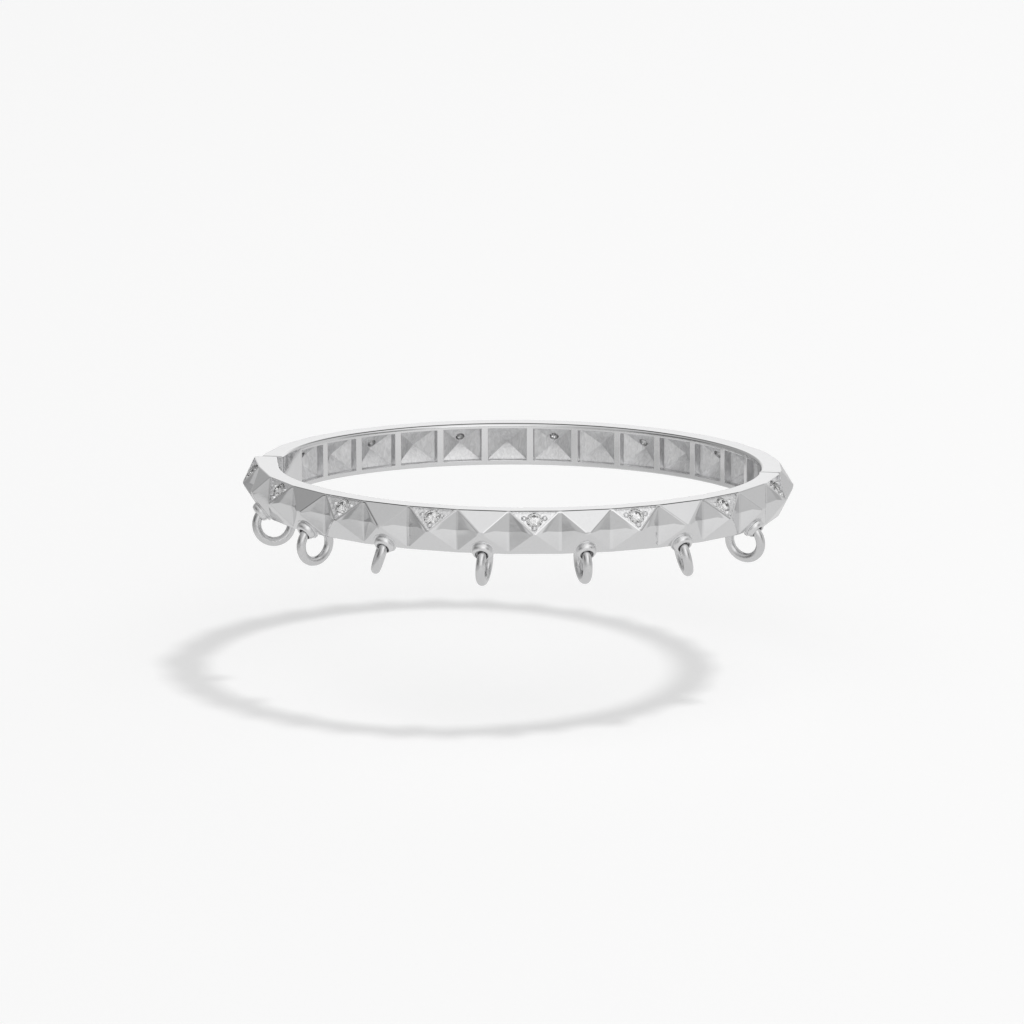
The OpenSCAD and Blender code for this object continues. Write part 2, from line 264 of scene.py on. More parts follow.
def metal(name, colour, shade_swing, dull, dull_swing, swirl_scale, skin_scale, skin_lift,
          squeeze=1.0):
    """A metal whose colour, dullness and skin vary at three sizes, in metres."""
    material, shader, wire = new_material(name)
    place = wire.node("ShaderNodeMapping", {
        "Vector": wire.node("ShaderNodeTexCoord", out="Object"), "Scale": (1, 1, squeeze)})
    broad = wire.noise(place, BROAD_SCALE, 2.0)
    swirl = wire.noise(place, swirl_scale, 3.0, 0.6, 1.2)
    skin = wire.noise(place, skin_scale, 2.0, 0.4)
    shade = broad * shade_swing * 0.6 + swirl * shade_swing * 1.6 + (1 - shade_swing * 1.1)
    wire.fill(shader, {
        "Base Color": wire.node("ShaderNodeVectorMath", {0: colour, "Scale": shade},
                                operation="SCALE"),
        "Roughness": dull + broad * dull_swing * 0.5 + swirl * dull_swing,
        "Metallic": 1.0,
        "Normal": wire.node("ShaderNodeBump", {
            "Strength": 1.0, "Distance": skin_lift, "Height": skin + swirl * 0.08})})
    return material


# Colour, swing of its shade; dullness, swing of it; swirls and bumps per metre,
# lift of the bumps in metres, and how much the grain is drawn out along Z
polished = metal("polished white metal", (0.80, 0.80, 0.805), 0.05,
                 0.03, 0.08, 2600.0, 420.0, 0.000012)
satin = metal("satin white metal", (0.80, 0.80, 0.805), 0.46,
              0.20, 0.22, 2100.0, 2600.0, 0.00003, 0.45)
# The cut metal is set lighter than the polished one, a painted sheen that the stones' fields and
# the beads share.
cut = metal("bright cut white metal", (0.95, 0.95, 0.955), 0.24,
            0.20, 0.18, 4400.0, 3200.0, 0.00009)
soft = metal("softly polished white metal", (0.84, 0.84, 0.845), 0.06,
             0.20, 0.12, 2200.0, 900.0, 0.00002)
drawn = metal("drawn white metal", (0.75, 0.75, 0.755), 0.08,
              0.16, 0.12, 1800.0, 1100.0, 0.00002)
steel = metal("brushed pin steel", (0.68, 0.68, 0.69), 0.16,
              0.22, 0.14, 3800.0, 1500.0, 0.00001)
METALS = [polished, satin, cut, soft]
print("metals:", [m.name for m in METALS + [drawn, steel]])

# %% [markdown]
# ## The rim, cell by cell
#
# Each half is one piece: a rim with a curved inner wall, and a stud in front of
# every stretch of it. The rim has a shape that is best written out, because its
# inner wall follows the true arc while the stud in front stands on a flat foot.
# So a cell is laid down face by face: the flat rim above and below, the inner
# wall round its window, the window's four straight walls, and the hollow pyramid
# that follows the stud from behind. Points that fall together are made once,
# which closes the shell without any welding.

# %% One cell of the rim
TOP_RAIL, BOTTOM_RAIL, POST_WIDTH = 0.65, 0.6, 0.85
WINDOW_DEPTH, HOLLOW_RISE = 1.0, 1.25
WINDOW_LOW, WINDOW_HIGH = BOTTOM_RAIL - TOP, TOP - TOP_RAIL
WALL_LEVELS = (-TOP, WINDOW_LOW, WINDOW_HIGH, TOP)
WALL_STEPS, WALL_SAMPLES = 8, 400
STRAIGHT_FROM, STRAIGHT_TO = 5.5, 0.73 * CLASP_STEP
OUTSIDE, INSIDE, CUT, SOFT = 0, 1, 2, 3


def lift(place, z):
    return Vector((place.x, place.y, z))


class Shell:
    """A mesh in the making, whose points are shared wherever they fall together."""

    def __init__(self):
        self.mesh = bmesh.new()
        self.points = {}

    def point(self, place):
        key = tuple(round(c, 4) for c in place)
        if key not in self.points:
            self.points[key] = self.mesh.verts.new(place)
        return self.points[key]

    def face(self, places, finish=OUTSIDE):
        loop = []
        for place in places:
            point = self.point(place)
            if point not in loop:
                loop.append(point)
        if len(loop) > 2:
            self.mesh.faces.new(loop).material_index = finish

    def wall(self, ends, levels, finish=OUTSIDE):
        """An upright strip between two places, with points at every level."""
        a, b = ends
        self.face([lift(a, z) for z in levels] + [lift(b, z) for z in reversed(levels)], finish)


def has_window(j):
    return 0 < j < STUDS - 1


def wall_x(y):
    """How far to the left the wrist opening reaches at y."""
    return -END_X - math.sqrt((END_RADIUS - RIM_WIDTH) ** 2 - y * y)


def straight_x(y):
    """The front half's last stretch of wall before the clasp, which is straight."""
    start, end = wall_x(STRAIGHT_FROM) + 0.02, wall_x(0) - STRAIGHT_TO
    return start + (end - start) * (1 + y / STRAIGHT_FROM)


def wall_point(half, run):
    place = oval_point(half, run, RIM_WIDTH)
    if half == "front" and place.x < 0 and place.y > -STRAIGHT_FROM:
        place.x = min(place.x, straight_x(place.y))
    return place


def inner_wall(half, j):
    """Places along the inner wall behind a stud, half its window's width, and its sense."""
    back = stud_frame(half, j)
    axes = back.inverted()
    start, stop = valley_run(half, j), valley_run(half, j + 1)
    walk = [wall_point(half, start + (stop - start) * i / WALL_SAMPLES)
            for i in range(WALL_SAMPLES + 1)]
    chord = (walk[-1] - walk[0]).length - POST_WIDTH
    steps = [chord * (i / WALL_STEPS - 0.5) for i in range(WALL_STEPS + 1)]
    if (axes @ walk[0]).x > 0:
        steps.reverse()
    found = [min(walk, key=lambda p: abs((axes @ p).x - x)) for x in steps]
    found = [back @ Vector((x, (axes @ p).y, 0)) for x, p in zip(steps, found)]
    return [walk[0]] + found + [walk[-1]], chord / 2, (1 if steps[0] < steps[-1] else -1)


def lay_cell(shell, half, j):
    """The rim, the inner wall and the window behind one stud."""
    line, w, way = inner_wall(half, j)
    for z in (TOP, -TOP):
        shell.face([lift(p, z) for p in [valley(half, j), valley(half, j + 1)] + line[::-1]])
    for i in range(len(line) - 1):
        open_here = has_window(j) and 0 < i < len(line) - 2
        for low, high in zip(WALL_LEVELS, WALL_LEVELS[1:]):
            if not (open_here and low == WINDOW_LOW):
                shell.wall(line[i:i + 2], (low, high))
    if not has_window(j):
        return
    axes = stud_frame(half, j)
    depth = WINDOW_DEPTH - RIM_WIDTH
    deep = {(s, z): axes @ Vector((s * way * w, depth, z))
            for s in (-1, 1) for z in (WINDOW_LOW, WINDOW_HIGH)}
    mouth = line[1:-1]
    for z in (WINDOW_LOW, WINDOW_HIGH):
        shell.face([lift(p, z) for p in mouth] + [deep[1, z], deep[-1, z]], INSIDE)
    for s, edge in ((-1, mouth[0]), (1, mouth[-1])):
        shell.face([lift(edge, WINDOW_LOW), lift(edge, WINDOW_HIGH),
                    deep[s, WINDOW_HIGH], deep[s, WINDOW_LOW]], INSIDE)
    apex = axes @ Vector((0, depth + HOLLOW_RISE, (WINDOW_LOW + WINDOW_HIGH) / 2))
    corners = [deep[-1, WINDOW_LOW], deep[1, WINDOW_LOW],
               deep[1, WINDOW_HIGH], deep[-1, WINDOW_HIGH]]
    for i in range(4):
        shell.face([corners[i], corners[(i + 1) % 4], apex], INSIDE)


# %% [markdown]
# The ends of a half are plain. At the hinge the wall is cut back outside the
# pin, so that the halves can swing apart, and at the clasp it is simply flat. A
# hair's breadth of four hundredths of a millimetre on each side makes the seam.

# %% The ends of a half
PIN_X = HALF_LENGTH - 0.5
RELIEF_ANGLE = math.radians(33)
END_STEPS = 3


def lay_end(shell, half, at_hinge):
    k, sign = (0, 1) if at_hinge else (STUDS, -1)
    foot, from_run = valley(half, k), valley_run(half, k)
    seam_y = SIDE[half] * SEAM_HALF_GAP
    corner = Vector((sign * (HALF_LENGTH - 0.003), seam_y, 0))
    seam_inner = Vector((-sign * wall_x(seam_y), seam_y, 0))
    if half == "front" and not at_hinge:
        corner.x -= CLASP_STEP
        seam_inner.x = straight_x(seam_y)
    to_run = 0 if at_hinge else HALF_RUN
    line = [wall_point(half, from_run + i / END_STEPS * (to_run - from_run))
            for i in range(END_STEPS)] + [seam_inner]
    if at_hinge:
        slope = math.tan(RELIEF_ANGLE)
        turn_in = Vector((PIN_X + SEAM_HALF_GAP / slope, seam_y, 0))
        turn_out = Vector((corner.x, SIDE[half] * (corner.x - PIN_X) * slope, 0))
        outer = [seam_inner, turn_in, turn_out, foot]
    else:
        outer = [seam_inner, corner, foot]
    for z in (TOP, -TOP):
        shell.face([lift(p, z) for p in outer + line[:-1]])
    for ends in zip(line, line[1:]):
        for levels in zip(WALL_LEVELS, WALL_LEVELS[1:]):
            shell.wall(ends, levels)
    shell.face([lift(outer[0], z) for z in WALL_LEVELS]
               + [lift(outer[1], TOP), lift(outer[1], -TOP)])
    for ends in zip(outer[1:], outer[2:]):
        shell.wall(ends, (-TOP, TOP))


def new_piece(name, mesh, materials=()):
    """A named object in the scene, with its finishes in order."""
    piece = bpy.data.objects.new(name, mesh)
    bpy.context.scene.collection.objects.link(piece)
    for material in materials:
        mesh.materials.append(material)
    return piece


def open_mesh(piece):
    """A piece's mesh laid open, so that its faces and edges can be worked on."""
    mesh = bmesh.new()
    mesh.from_mesh(piece.data)
    return mesh


def close_mesh(mesh, piece):
    mesh.to_mesh(piece.data)
    mesh.free()


def metal_piece(name, mesh):
    """A piece that is made of an open mesh and carries the band's finishes."""
    piece = new_piece(name, bpy.data.meshes.new(name), METALS)
    close_mesh(mesh, piece)
    return piece


def rim_shell(half):
    shell = Shell()
    for j in range(STUDS):
        lay_cell(shell, half, j)
    for at_hinge in (True, False):
        lay_end(shell, half, at_hinge)
    return metal_piece(half + "_rim", shell.mesh)


rims = {half: rim_shell(half) for half in SIDE}
for half, rim in rims.items():
    print(half, "rim:", len(rim.data.polygons), "faces")

# %% [markdown]
# ## A row of studs by Geometry Nodes
#
# The studs are the bracelet's rule: the same low pyramid, fifteen times on each
# half, along the oval. An Array modifier that follows a curve would bend the
# flat facets, while Geometry Nodes keep each stud true. A stud is a cone with
# four sides and no base. It is put on a point that carries the way it faces and
# its size, all studs are joined to the rim, and the points that fall together
# are welded.


# %% Places that carry a turn and a size
def place_points(name, frames, sizes=None):
    """Loose points with the turn and the size that a Geometry Nodes tree reads."""
    mesh = bpy.data.meshes.new(name)
    mesh.from_pydata([tuple(f.translation) for f in frames], [], [])
    turns = mesh.attributes.new("turn", "FLOAT_VECTOR", "POINT")
    spans = mesh.attributes.new("size", "FLOAT_VECTOR", "POINT")
    for i, f in enumerate(frames):
        turns.data[i].vector = f.to_euler("XYZ")
        spans.data[i].vector = sizes[i] if sizes else (1, 1, 1)
    return new_piece(name, mesh)


def new_tree(name, inputs):
    """A Geometry Nodes tree with named inputs, and the wires into and out of it."""
    tree = bpy.data.node_groups.new(name, "GeometryNodeTree")
    tree.interface.new_socket("Geometry", in_out="OUTPUT", socket_type="NodeSocketGeometry")
    for label, kind in [("Geometry", "Geometry"), *inputs]:
        tree.interface.new_socket(label, in_out="INPUT", socket_type="NodeSocket" + kind)
    entry = tree.nodes.new("NodeGroupInput")
    end = tree.nodes.new("NodeGroupOutput")
    wires = {socket.name: Wire(tree, socket) for socket in entry.outputs if socket.name}
    return Wire(tree), wires, end.inputs[0]


def run_tree(piece, tree, values):
    """Run a tree on a piece and keep what it makes as a plain mesh."""
    modifier = piece.modifiers.new(tree.name, "NODES")
    modifier.node_group = tree
    for item in tree.interface.items_tree:
        if item.item_type == "SOCKET" and item.in_out == "INPUT" and item.name in values:
            modifier[item.identifier] = values[item.name]
    return settle(piece)


def settle(piece):
    """Turn what the modifiers show into the piece's own plain mesh."""
    bpy.context.view_layer.update()
    graph = bpy.context.evaluated_depsgraph_get()
    made = bpy.data.meshes.new_from_object(
        piece.evaluated_get(graph), preserve_all_data_layers=True, depsgraph=graph)
    piece.modifiers.clear()
    old, piece.data = piece.data, made
    made.name = piece.name
    if old.users == 0:
        bpy.data.meshes.remove(old)
    return piece


def modify(piece, name, kind, **options):
    """Run one modifier on a piece and keep what it makes as a plain mesh."""
    modifier = piece.modifiers.new(name, kind)
    for option, value in options.items():
        setattr(modifier, option, value)
    return settle(piece)


def sort_finishes(piece):
    """Put a metal piece's finishes back in their order after pieces were joined."""
    names = [m.name if m else "" for m in piece.data.materials]
    wanted = [m.name for m in METALS]
    order = [wanted.index(n) if n in wanted else OUTSIDE for n in names]
    finishes = [order[f.material_index] for f in piece.data.polygons]
    piece.data.materials.clear()
    for material in METALS:
        piece.data.materials.append(material)
    piece.data.polygons.foreach_set("material_index", finishes)
    return piece


def at_attribute(wire, name):
    return wire.node("GeometryNodeInputNamedAttribute", {"Name": name}, data_type="FLOAT_VECTOR")


def set_on_points(wire, points, shape):
    """A shape on every point, with the turn and the size that the point carries."""
    turn = wire.node("FunctionNodeEulerToRotation", {"Euler": at_attribute(wire, "turn")})
    row = wire.node("GeometryNodeInstanceOnPoints", {
        "Points": points, "Instance": shape, "Rotation": turn,
        "Scale": at_attribute(wire, "size")})
    return wire.node("GeometryNodeRealizeInstances", {"Geometry": row})


# %% The tree for the row of studs
def stud_row_tree():
    wire, given, result = new_tree("stud row", [
        ("Rim", "Object"), ("Weld distance", "Float"), ("Finish", "Material")])
    pyramid = wire.node("GeometryNodeMeshCone", {
        "Vertices": 4, "Radius Top": 0.0, "Radius Bottom": math.sqrt(0.5), "Depth": 1.0},
        fill_type="NONE")
    square = wire.node("GeometryNodeTransform", {
        "Geometry": pyramid, "Rotation": (0, 0, math.pi / 4)})
    painted = wire.node("GeometryNodeSetMaterial", {
        "Geometry": set_on_points(wire, given["Geometry"], square),
        "Material": given["Finish"]})
    rim = wire.node("GeometryNodeObjectInfo", {"Object": given["Rim"]}, out="Geometry")
    both = wire.node("GeometryNodeJoinGeometry", {0: painted})
    wire.plug(both.socket.node.inputs[0], rim)
    wire.plug(result, wire.node("GeometryNodeMergeByDistance", {
        "Geometry": both, "Distance": given["Weld distance"]}))
    return wire.tree


STUD_ROW = stud_row_tree()
WELD_DISTANCE = 0.002


def stud_places(half):
    facing = Matrix.Rotation(-math.pi / 2, 4, "X")
    frames = [stud_frame(half, j) @ facing for j in range(STUDS)]
    sizes = [(stud_width(half, j), BAND_HEIGHT, STUD_RISE) for j in range(STUDS)]
    return place_points(half + "_band", frames, sizes)


def describe(label, piece):
    """Print how big a piece's mesh is and whether its shell is closed."""
    mesh = open_mesh(piece)
    triangles = sum(len(f.verts) - 2 for f in mesh.faces)
    loose = sum(len(e.link_faces) != 2 for e in mesh.edges)
    volume = round(mesh.calc_volume(signed=True), 1)
    print(label, triangles, "triangles,", loose, "open edges,", volume, "mm3")
    mesh.free()


bands = {}
for half in SIDE:
    band = bands[half] = sort_finishes(run_tree(stud_places(half), STUD_ROW, {
        "Rim": rims[half], "Weld distance": WELD_DISTANCE, "Finish": polished}))
    mesh = open_mesh(band)
    bmesh.ops.recalc_face_normals(mesh, faces=mesh.faces)
    close_mesh(mesh, band)
    describe(half + " band:", band)

# %% [markdown]
# ## Soft edges
#
# Nothing on a polished piece is razor sharp: the wheel rounds each ridge a
# little, and the rounding is what draws the thin bright lines between facets.
# The Bevel modifier can give each edge its own width through a bevel weight, so
# the edges are sorted by what they are. The lower ridges of a stud are polished
# almost away and get the widest rounding, and the rim's inner upper edge gets a
# wide one too. The upper ridges stay crisp, and the windows' mouths are crisper
# still. A valley between two studs gets a narrow fillet, the trace of the
# wheel's edge. Before that the sides of the studs are swollen by an eighth of a
# millimetre. A flat facet would mirror one spot of the room and show one grey,
# but these show a dark upper half, a light lower half and a bowed line between.

# %% Swell the sides of the studs
SIDE_SWELL, FACET_SWELL = 0.13, 0.03
SWELL_AT, SWELL_ARCH = 0.1, 0.3


def swell_sides(band):
    """Bend each pair of side facets outward at mid height, where two studs meet."""
    mesh = open_mesh(band)
    mesh.normal_update()
    valleys = [e for e in mesh.edges if len(e.link_faces) == 2
               and all(len(f.verts) == 3 and f.material_index == OUTSIDE for f in e.link_faces)
               and abs(e.verts[0].co.z - e.verts[1].co.z) > BAND_HEIGHT - 0.01]
    for edge in valleys:
        outward = (edge.link_faces[0].normal + edge.link_faces[1].normal).normalized()
        sides = [(f.normal.copy(), next(v for v in f.verts if v not in edge.verts))
                 for f in edge.link_faces]
        ends = list(edge.verts)
        middle = bmesh.utils.edge_split(edge, ends[0], 0.5)[1]
        middle.co += outward * SIDE_SWELL + Vector((0, 0, SWELL_AT))
        for normal, apex in sides:
            crease = bmesh.ops.connect_verts(mesh, verts=[middle, apex])["edges"][0]
            bend = bmesh.utils.edge_split(crease, middle, 0.5)[1]
            bend.co += normal * FACET_SWELL + Vector((0, 0, SWELL_ARCH))
            for end in ends:
                bmesh.ops.connect_verts(mesh, verts=[bend, end])
    close_mesh(mesh, band)
    return len(valleys)


for half, band in bands.items():
    print(half, "band:", swell_sides(band), "valleys swollen,", len(band.data.polygons), "faces")

# %% Round the convex edges by kind
# The widest rounding in millimetres, and each kind of edge as a share of it
WIDEST_BEVEL = 0.55
LOW_RIDGE, END_CORNER, INNER_RIM_EDGE = 1.0, 0.73, 0.7
RIDGE, RIM_EDGE, MOUTH_EDGE, VALLEY = 0.36, 0.24, 0.15, 0.13
SHARP_ENOUGH = math.radians(18)
TONGUE_X = RIM_WIDTH / 2 - HALF_LENGTH - 0.4 * CLASP_STEP
CLEAR_OF_SEAM = 1.2


def faces_wrist(face):
    """Whether a face is upright and turned towards the middle of the oval."""
    return abs(face.normal.z) < 0.01 and face.normal.dot(face.calc_center_median()) < 0


def edge_kind(edge):
    """How much an edge is rounded: 0 leaves it as it is."""
    turn, faces = edge.calc_face_angle_signed(0), edge.link_faces
    a, b = (v.co for v in edge.verts)
    inside = sum(f.material_index == INSIDE for f in faces)
    facets = inside == 0 and all(len(f.verts) == 3 for f in faces)
    if turn < SHARP_ENOUGH:
        return VALLEY if facets and turn < -SHARP_ENOUGH else 0.0
    if inside == 1:
        return MOUTH_EDGE
    if abs(a.z - b.z) > 0.1 and all(
            p.x < TONGUE_X + CLEAR_OF_SEAM and abs(p.y + SEAM_HALF_GAP) < 0.001 for p in (a, b)):
        return END_CORNER
    if facets:
        return LOW_RIDGE if min(a.z, b.z) < 0.01 - TOP else RIDGE
    tops = [f.normal.z > 0.99 for f in faces]
    if inside == 0 and abs(a.y) > CLEAR_OF_SEAM and any(tops) and all(
            top or faces_wrist(f) for top, f in zip(tops, faces)):
        return INNER_RIM_EDGE
    return RIM_EDGE if inside == 0 else 0.0


def soften(band):
    """Round a band's edges, each by its own weight."""
    mesh = open_mesh(band)
    weight = mesh.edges.layers.float.new("bevel_weight_edge")
    mesh.normal_update()
    for edge in mesh.edges:
        edge[weight] = edge_kind(edge)
    count = sum(edge[weight] > 0 for edge in mesh.edges)
    close_mesh(mesh, band)
    modify(band, "soft edges", "BEVEL", width=WIDEST_BEVEL, segments=4, limit_method="WEIGHT",
           use_clamp_overlap=False, miter_outer="MITER_SHARP")
    return count


for half, band in bands.items():
    print(half, "band:", soften(band), "edges rounded,", len(band.data.polygons), "faces")

# %% [markdown]
# ## Turned shapes and a tree that repeats them
#
# Beads, eyes, drilled holes and seats are all turned round an axis, as on a
# lathe, so one helper spins a profile. A second tree then puts a shape on every
# point of a row, with the turn that the point carries. The same tree serves for
# metal that is added and for the tools that cut metal away.


# %% A lathe and a tree that repeats a shape
def lathe(name, profile, steps, finish=INSIDE):
    """Turn a profile of (radius, height) points round Z into a closed shape."""
    mesh = bmesh.new()
    turns = [2 * math.pi * i / steps for i in range(steps)]
    rings = [[mesh.verts.new((radius * math.cos(turn), radius * math.sin(turn), height))
              for turn in (turns if radius > 0 else [0.0])] for radius, height in profile]
    for low, high in zip(rings, rings[1:]):
        for i in range(steps):
            k = (i + 1) % steps
            loop = [low[i % len(low)], low[k % len(low)], high[k % len(high)], high[i % len(high)]]
            mesh.faces.new(list(dict.fromkeys(loop))).material_index = finish
    bmesh.ops.recalc_face_normals(mesh, faces=mesh.faces)
    return metal_piece(name, mesh)


def repeat_tree():
    wire, given, result = new_tree("repeat a shape", [("Shape", "Object")])
    shape = wire.node("GeometryNodeObjectInfo", {"Object": given["Shape"]}, out="Geometry")
    wire.plug(result, set_on_points(wire, given["Geometry"], shape))
    return wire.tree


REPEAT = repeat_tree()


def repeat(name, shape, frames):
    """A shape on every one of the frames, as one plain mesh."""
    return sort_finishes(run_tree(place_points(name, frames), REPEAT, {"Shape": shape}))


def throw_away(*pieces):
    for piece in pieces:
        mesh = piece.data
        bpy.data.objects.remove(piece)
        if mesh.users == 0:
            bpy.data.meshes.remove(mesh)


def work(target, tool, operation):
    """Add a tool's shape to the metal, or cut it away, and keep a plain mesh."""
    sort_finishes(modify(target, operation.lower(), "BOOLEAN",
                         operation=operation, solver="MANIFOLD", object=tool))


def block(name, low, high, finish=INSIDE):
    """A plain box between two corners, used only as a cutting tool."""
    mesh = bmesh.new()
    bmesh.ops.create_cube(mesh, size=1.0)
    for vert in mesh.verts:
        vert.co = [low[i] if vert.co[i] < 0 else high[i] for i in range(3)]
    for face in mesh.faces:
        face.material_index = finish
    return metal_piece(name, mesh)


# %% [markdown]
# ## Blunt tips
#
# A wheel never leaves the tip of a stud sharp. Each tip is ground down to a
# small flat that leans a little downwards, wider on a plain stud than on one
# that carries a stone, because there the bright border runs on round the tip. A
# block is set on every tip by the tree, and all of them are cut away at once.

# %% Grind the tips flat
TIP_CUT, STONE_TIP_CUT = 0.24, 0.08
TIP_LEAN, GRINDER_REACH = math.radians(14), 1.2


def has_stone(half, j):
    return j % 2 == (0 if half == "front" else 1)


for half, band in bands.items():
    grinder = block("grinder", (-GRINDER_REACH, 0, -GRINDER_REACH),
                    (GRINDER_REACH, 1, GRINDER_REACH), OUTSIDE)
    cuts = [STONE_TIP_CUT if has_stone(half, j) else TIP_CUT for j in range(STUDS)]
    tips = [stud_frame(half, j) @ Matrix.Translation((0, STUD_RISE - cut, 0))
            @ Matrix.Rotation(-TIP_LEAN, 4, "X") for j, cut in enumerate(cuts)]
    grinders = repeat("grinders", grinder, tips)
    work(band, grinders, "DIFFERENCE")
    throw_away(grinder, grinders)
    print(half, "band with blunt tips:", len(band.data.polygons), "faces")

# %% [markdown]
# ## Cutting the stones' fields and seats
#
# A setter sinks a three-cornered field into the stud's upper facet and leaves a
# thin border standing along its edges. In the middle of the field goes the seat,
# a cone that takes the stone's pavilion, and behind it a hole drilled right
# through to the window, which lets light into the stone from behind. The field
# and the turned seat are joined into one tool, and the tree puts the tool on
# every stud that carries a stone. Its lip flares by a few hundredths, so that
# the border's edge comes out slightly broken and catches the light.

# %% The field, the seat and the drilled hole
STONE_D, STONE_DOWN, STONE_FLOOR = 1.9, 1.1, 0.3
FIELD_BORDER, FIELD_TOP_BORDER = 0.18, 0.1
DRILL_D, SEAT_GAP = 1.1, 0.012
STONE_Z = -STONE_FLOOR - 0.03
PAVILION = 0.43 * STONE_D
SEAT_STEPS = 32
LIP = 0.03
DRILLED_THROUGH, DRILLED_BLIND = 2.3, 1.6


def field_outline(width, spread):
    """The field's three corners on the facet, grown outwards by spread."""
    edge = math.hypot(width / 2, FACET_SLOPE)
    border, top_border = FIELD_BORDER - spread, FIELD_TOP_BORDER - spread
    side = width / 2 * (1 - top_border / FACET_SLOPE) - border * edge / FACET_SLOPE
    tip = FACET_SLOPE * (1 - 2 * border * edge / (FACET_SLOPE * width))
    return [(-side, top_border), (side, top_border), (0, tip)]


def setting_tool(name, half, depth):
    mesh = bmesh.new()
    levels = [(-STONE_FLOOR, 0.0), (-LIP, 0.0), (LIP, 2 * LIP)]
    width = stud_width(half, MIDDLE_STUD)
    loops = [[mesh.verts.new((x, y, z)) for x, y in field_outline(width, spread)]
             for z, spread in levels]
    mesh.faces.new(loops[0])
    mesh.faces.new(loops[-1])
    for low, high in zip(loops, loops[1:]):
        for i in range(3):
            mesh.faces.new([low[i], low[(i + 1) % 3], high[(i + 1) % 3], high[i]])
    for face in mesh.faces:
        face.material_index = CUT
    bmesh.ops.recalc_face_normals(mesh, faces=mesh.faces)
    tool = metal_piece(name, mesh)
    seat_floor = STONE_Z - SEAT_GAP
    cone_end = seat_floor - PAVILION * (1 - DRILL_D / STONE_D)
    seat_r, drill_r = STONE_D / 2 + SEAT_GAP, DRILL_D / 2
    seat = lathe("seat_tool", [
        (0, LIP), (seat_r, LIP), (seat_r, seat_floor), (drill_r + SEAT_GAP, cone_end),
        (drill_r, cone_end), (drill_r, -depth), (0, -depth)], SEAT_STEPS, CUT)
    seat.data.transform(Matrix.Translation((0, STONE_DOWN, 0)))
    work(tool, seat, "UNION")
    throw_away(seat)
    return tool


for half, band in bands.items():
    for depth in (DRILLED_THROUGH, DRILLED_BLIND):
        studs = [j for j in range(STUDS) if has_stone(half, j)
                 and has_window(j) == (depth == DRILLED_THROUGH)]
        if not studs:
            continue
        tool = setting_tool("setting_tool", half, depth)
        tools = repeat("setting_tools", tool, [stud_frame(half, j) @ UPPER_FACET for j in studs])
        work(band, tools, "DIFFERENCE")
        throw_away(tool, tools)
    cut_faces = sum(f.material_index == CUT for f in band.data.polygons)
    print(half, "band with its fields:", len(band.data.polygons), "faces,",
          cut_faces, "of them cut")

# %% [markdown]
# ## The eyes
#
# Every second stud of the front half has an eye on its lower facet, a soft round
# boss with a hole for the jump ring. The boss is turned, repeated by the same
# tree and soldered on, which in Blender is a union. Then its hole is cut, a
# little below the middle, and last the way that the ring's own wire needs
# through the boss and the rail under it.

# %% Bosses, their holes and the rings' ways
EYE_RISE, EYE_UP = 0.75, 0.57
EYE_ROUND, EYE_DOME = 0.42, 0.6
EYE_COLLAR, EYE_TUBE = 1.46, 1.21
EYE_ROOT, COLLAR_RISE = -0.25, 0.05
EYE_HOLE_R, EYE_LIP, EYE_STEPS = 0.72, 0.17, 48
HOLE_OFFSET, HOLE_DEPTH, HOLE_ABOVE = 0.2, 1.6, 0.6
RING_D, WIRE_D, RING_CLEARANCE = 5.3, 1.1, 0.08
# The stud that carries each ring, counted from the hinge, and the ring's turn
# about the upright, its sideways lean and its swing, in degrees
RING_HANG = ((13, -5, 5, -6), (11, 0, -3, 3), (9, 30, -18, -12), (7, -4, -5, 0),
             (5, 4, 3, -5), (3, -20, 14, 0), (1, 2, 8, 0))
RING_MIDDLE = Vector((0, -0.98, -TOP - 1.43))
RING_PIVOT = Vector((0, 0.85, -TOP - 0.34))


def rounding(radius, across, down, steps):
    """A quarter of an ellipse from an eye's upright side to its top."""
    turns = [math.pi / 2 * i / steps for i in range(steps + 1)]
    return [(radius + across * (1 - math.cos(t)), EYE_RISE - down * (1 - math.sin(t)))
            for t in turns]


eye_profile = [
    (0, EYE_ROOT), (EYE_COLLAR, EYE_ROOT), (EYE_COLLAR, -0.02), (EYE_COLLAR - 0.08, COLLAR_RISE),
    (EYE_TUBE - 0.04, COLLAR_RISE), (EYE_TUBE, 0.11),
    *rounding(EYE_TUBE, -EYE_ROUND, EYE_DOME, 8), (0, EYE_RISE)]
hole_profile = [
    (0, -HOLE_DEPTH), (EYE_HOLE_R, -HOLE_DEPTH), *rounding(EYE_HOLE_R, EYE_LIP, EYE_LIP, 5),
    (EYE_HOLE_R + EYE_LIP, EYE_RISE + HOLE_ABOVE), (0, EYE_RISE + HOLE_ABOVE)]


def ring_frame(hang):
    """Where a jump ring hangs: its own axis is Z, its middle the origin."""
    j, yaw, lean, swing = hang
    return (stud_frame("front", j) @ Matrix.Translation(RING_PIVOT)
            @ Matrix.Rotation(math.radians(yaw), 4, "Z")
            @ Matrix.Rotation(math.radians(lean), 4, "Y")
            @ Matrix.Rotation(math.radians(swing), 4, "X")
            @ Matrix.Translation(RING_MIDDLE - RING_PIVOT)
            @ Matrix.Rotation(math.pi / 2, 4, "Y"))


